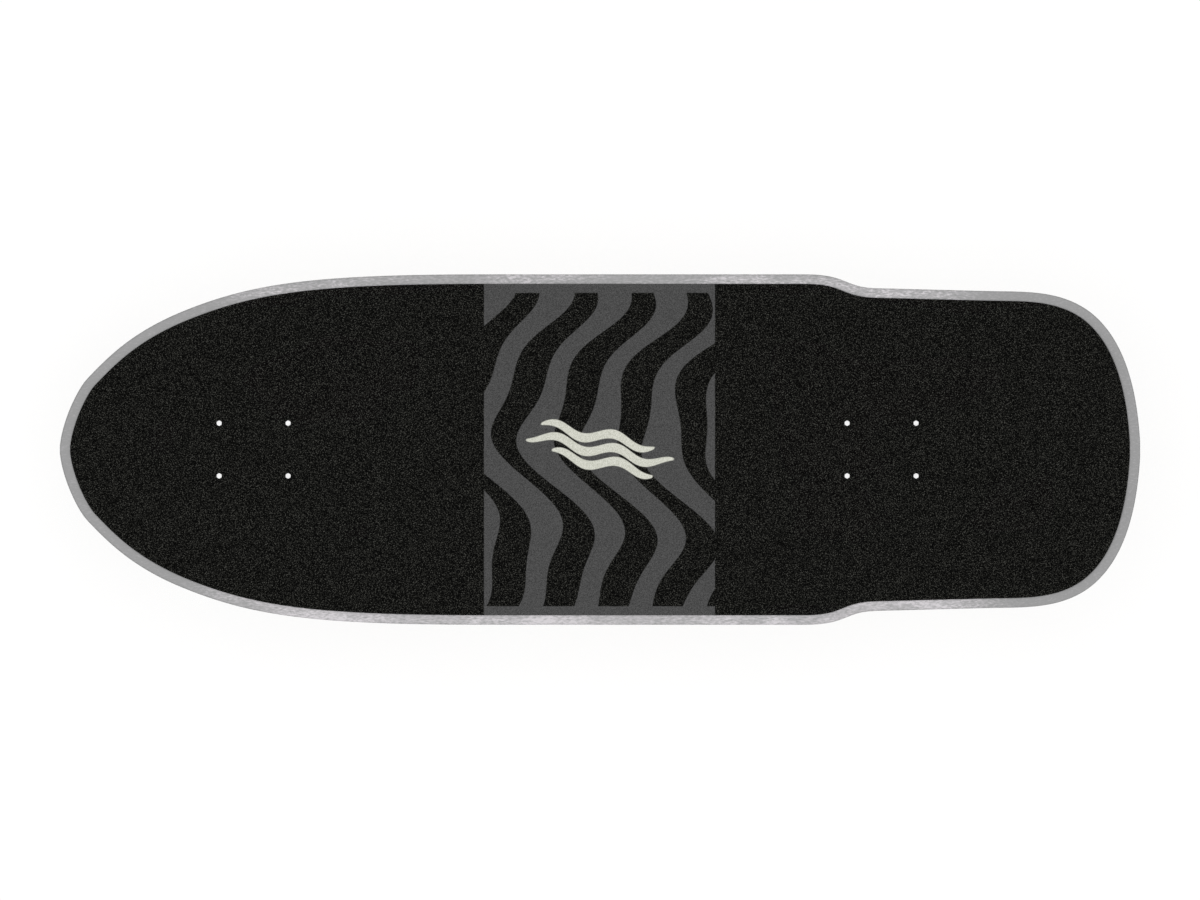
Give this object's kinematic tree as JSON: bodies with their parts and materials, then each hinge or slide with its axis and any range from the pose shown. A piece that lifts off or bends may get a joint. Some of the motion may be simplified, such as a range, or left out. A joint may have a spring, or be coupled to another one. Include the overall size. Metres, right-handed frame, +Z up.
{
  "type": "surf skateboard",
  "caption": "Surf skateboard: pressed maple deck with kicktail and full grip sheet, front truck on a sprung swivel arm, fixed carving rear truck, soft wheels on ball bearings.",
  "frame": {"origin": "on the ground, under the middle of the board's bounding box", "axes": "+X along the board towards the tail, +Y to its left side as seen with the nose at the left, +Z up"},
  "size_m": [0.8458, 0.2744, 0.1637],
  "materials": {
    "grip": "black abrasive grit sheet with a printed grey panel",
    "top_veneer": "silver-grey stained maple veneer, satin lacquer",
    "maple": "pressed maple ply, satin lacquer",
    "riser": "black hard rubber",
    "black_steel": "black oxide steel",
    "steel": "zinc plated steel",
    "spring_steel": "oiled spring steel",
    "cast_aluminium": "tumbled cast aluminium",
    "bushing": "cream urethane",
    "wheel": "cream urethane, satin",
    "bearing": "steel races with a dark shield"
  },
  "bodies": {
    "deck": {"grip_sheet": "grip", "top_veneer": "top_veneer", "maple_ply_6": "maple", "maple_ply_5": "maple", "maple_ply_4": "maple", "maple_ply_3": "maple", "maple_ply_2": "maple", "maple_ply_1": "maple", "front_riser_pad": "riser", "rear_riser_pad": "riser", "front_truck_bolt_front_left": "black_steel", "front_truck_bolt_front_right": "black_steel", "front_truck_bolt_rear_left": "black_steel", "front_truck_bolt_rear_right": "black_steel", "rear_truck_bolt_front_left": "black_steel", "rear_truck_bolt_front_right": "black_steel", "rear_truck_bolt_rear_left": "black_steel", "rear_truck_bolt_rear_right": "black_steel", "front_base": "cast_aluminium", "king_bolt": "black_steel", "thrust_washer": "steel", "king_nut": "steel", "rear_baseplate": "cast_aluminium", "rear_kingpin": "black_steel", "rear_boardside_cup_washer": "steel", "rear_boardside_bushing": "bushing", "rear_roadside_bushing": "bushing", "rear_roadside_cup_washer": "steel", "rear_kingpin_nut": "steel", "rear_pivot_cup": "bushing"},
    "front_arm": {"front_swing_arm": "cast_aluminium", "centring_spring": "spring_steel", "front_kingpin": "black_steel", "front_boardside_cup_washer": "steel", "front_boardside_bushing": "bushing", "front_roadside_bushing": "bushing", "front_roadside_cup_washer": "steel", "front_kingpin_nut": "steel", "front_pivot_cup": "bushing"},
    "front_hanger_body": {"front_hanger": "cast_aluminium", "front_axle": "steel", "front_left_axle_nut": "black_steel", "front_right_axle_nut": "black_steel"},
    "front_left_wheel_body": {"front_left_wheel": "wheel", "front_left_inner_bearing": "bearing", "front_left_outer_bearing": "bearing"},
    "front_right_wheel_body": {"front_right_wheel": "wheel", "front_right_inner_bearing": "bearing", "front_right_outer_bearing": "bearing"},
    "rear_hanger_body": {"rear_hanger": "cast_aluminium", "rear_axle": "steel", "rear_left_axle_nut": "black_steel", "rear_right_axle_nut": "black_steel"},
    "rear_left_wheel_body": {"rear_left_wheel": "wheel", "rear_left_inner_bearing": "bearing", "rear_left_outer_bearing": "bearing"},
    "rear_right_wheel_body": {"rear_right_wheel": "wheel", "rear_right_inner_bearing": "bearing", "rear_right_outer_bearing": "bearing"}
  },
  "joints": [
    {"name": "front_arm_swivel", "type": "hinge", "parent": "deck", "child": "front_arm", "pos_m": [-0.236, 0, 0.09], "axis": [0, 0, 1], "range_deg": [-28, 28], "stiffness_Nm_per_rad": 12},
    {"name": "front_hanger_lean", "type": "hinge", "parent": "front_arm", "child": "front_hanger_body", "pos_m": [-0.27869, 0, 0.04391], "axis": [-0.7071, 0, 0.7071], "range_deg": [-15, 15], "stiffness_Nm_per_rad": 45, "deforming": ["front_boardside_bushing", "front_roadside_bushing"]},
    {"name": "rear_hanger_lean", "type": "hinge", "parent": "deck", "child": "rear_hanger_body", "pos_m": [0.21669, 0, 0.04391], "axis": [0.7071, 0, 0.7071], "range_deg": [-15, 15], "stiffness_Nm_per_rad": 45, "deforming": ["rear_boardside_bushing", "rear_roadside_bushing"]},
    {"name": "front_left_wheel_spin", "type": "hinge", "parent": "front_hanger_body", "child": "front_left_wheel_body", "pos_m": [-0.29, 0.0775, 0.03259], "axis": [0, 1, 0], "continuous": true},
    {"name": "front_right_wheel_spin", "type": "hinge", "parent": "front_hanger_body", "child": "front_right_wheel_body", "pos_m": [-0.29, -0.0775, 0.03259], "axis": [0, 1, 0], "continuous": true},
    {"name": "rear_left_wheel_spin", "type": "hinge", "parent": "rear_hanger_body", "child": "rear_left_wheel_body", "pos_m": [0.228, 0.0775, 0.03259], "axis": [0, 1, 0], "continuous": true},
    {"name": "rear_right_wheel_spin", "type": "hinge", "parent": "rear_hanger_body", "child": "rear_right_wheel_body", "pos_m": [0.228, -0.0775, 0.03259], "axis": [0, 1, 0], "continuous": true}
  ]
}
